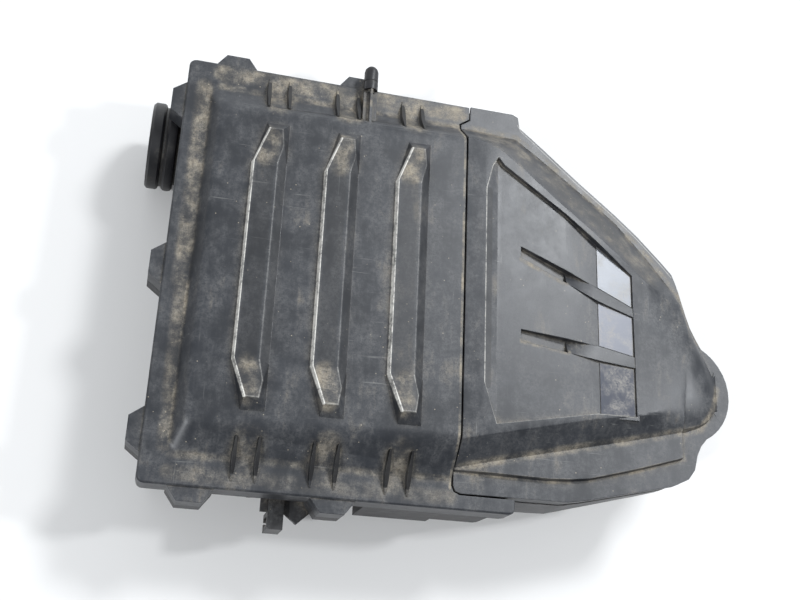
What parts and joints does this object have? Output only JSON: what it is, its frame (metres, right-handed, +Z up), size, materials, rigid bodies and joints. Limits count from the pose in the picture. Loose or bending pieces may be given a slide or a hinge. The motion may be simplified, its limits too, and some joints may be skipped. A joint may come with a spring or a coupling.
{
  "type": "air filter housing",
  "caption": "Black plastic panel-filter housing: a ribbed cover with a tapering outlet hood over a box-shaped case, a side inlet cuff, a downward outlet cuff and a pleated filter inside.",
  "frame": {"origin": "on the flat underside of the lower case, 225 mm in from the inlet-side edge of the rim and midway across the rim", "axes": "+X from the inlet side towards the outlet nose, +Y towards the side with the capped locating post, +Z up through the cover"},
  "size_m": [0.4997, 0.397, 0.1276],
  "materials": {
    "moulded_plastic": "fine-grained moulded black plastic, dusty",
    "hood_plastic": "satin moulded black plastic, dusty in the corners",
    "case_plastic": "plain moulded black plastic",
    "duct_plastic": "plain moulded black plastic",
    "clip_plastic": "black nylon",
    "black_rubber": "soft black rubber, faint gloss",
    "dark_chrome": "dark metallised plate",
    "zinc_plated_steel": "dull zinc plate",
    "filter_paper": "pleated filter paper",
    "seal_foam": "soft moulded seal"
  },
  "bodies": {
    "case": {"lower_case": "case_plastic", "inlet_cuff": "black_rubber", "mount_grommet_1": "black_rubber", "mount_grommet_2": "black_rubber", "grommet_sleeve_1": "zinc_plated_steel", "grommet_sleeve_2": "zinc_plated_steel", "drain_valve": "black_rubber", "harness_clip": "clip_plastic", "cover_screw_1": "zinc_plated_steel", "cover_screw_2": "zinc_plated_steel", "cover_screw_3": "zinc_plated_steel", "cover_screw_4": "zinc_plated_steel", "cover_screw_5": "zinc_plated_steel", "cover_screw_6": "zinc_plated_steel"},
    "cover": {"top_cover": "moulded_plastic", "post_cap": "black_rubber", "nose_cover": "hood_plastic", "accent_upper": "dark_chrome", "accent_middle": "dark_chrome", "accent_lower": "dark_chrome", "nose_duct": "duct_plastic", "duct_gasket": "black_rubber", "outlet_cuff": "black_rubber", "duct_screw_1": "zinc_plated_steel", "duct_screw_2": "zinc_plated_steel", "duct_screw_3": "zinc_plated_steel", "duct_screw_4": "zinc_plated_steel"},
    "filter": {"filter_media": "filter_paper", "filter_seal": "seal_foam"}
  },
  "joints": [
    {"name": "cover_lift", "type": "slide", "parent": "case", "child": "cover", "axis": [0, 0, 1], "range_m": [0, 0.12]},
    {"name": "filter_lift", "type": "slide", "parent": "case", "child": "filter", "axis": [0, 0, 1], "range_m": [0, 0.06]}
  ],
  "couplings": [
    {"joint": "filter_lift", "follows": "cover_lift", "ratio": 0.5}
  ]
}
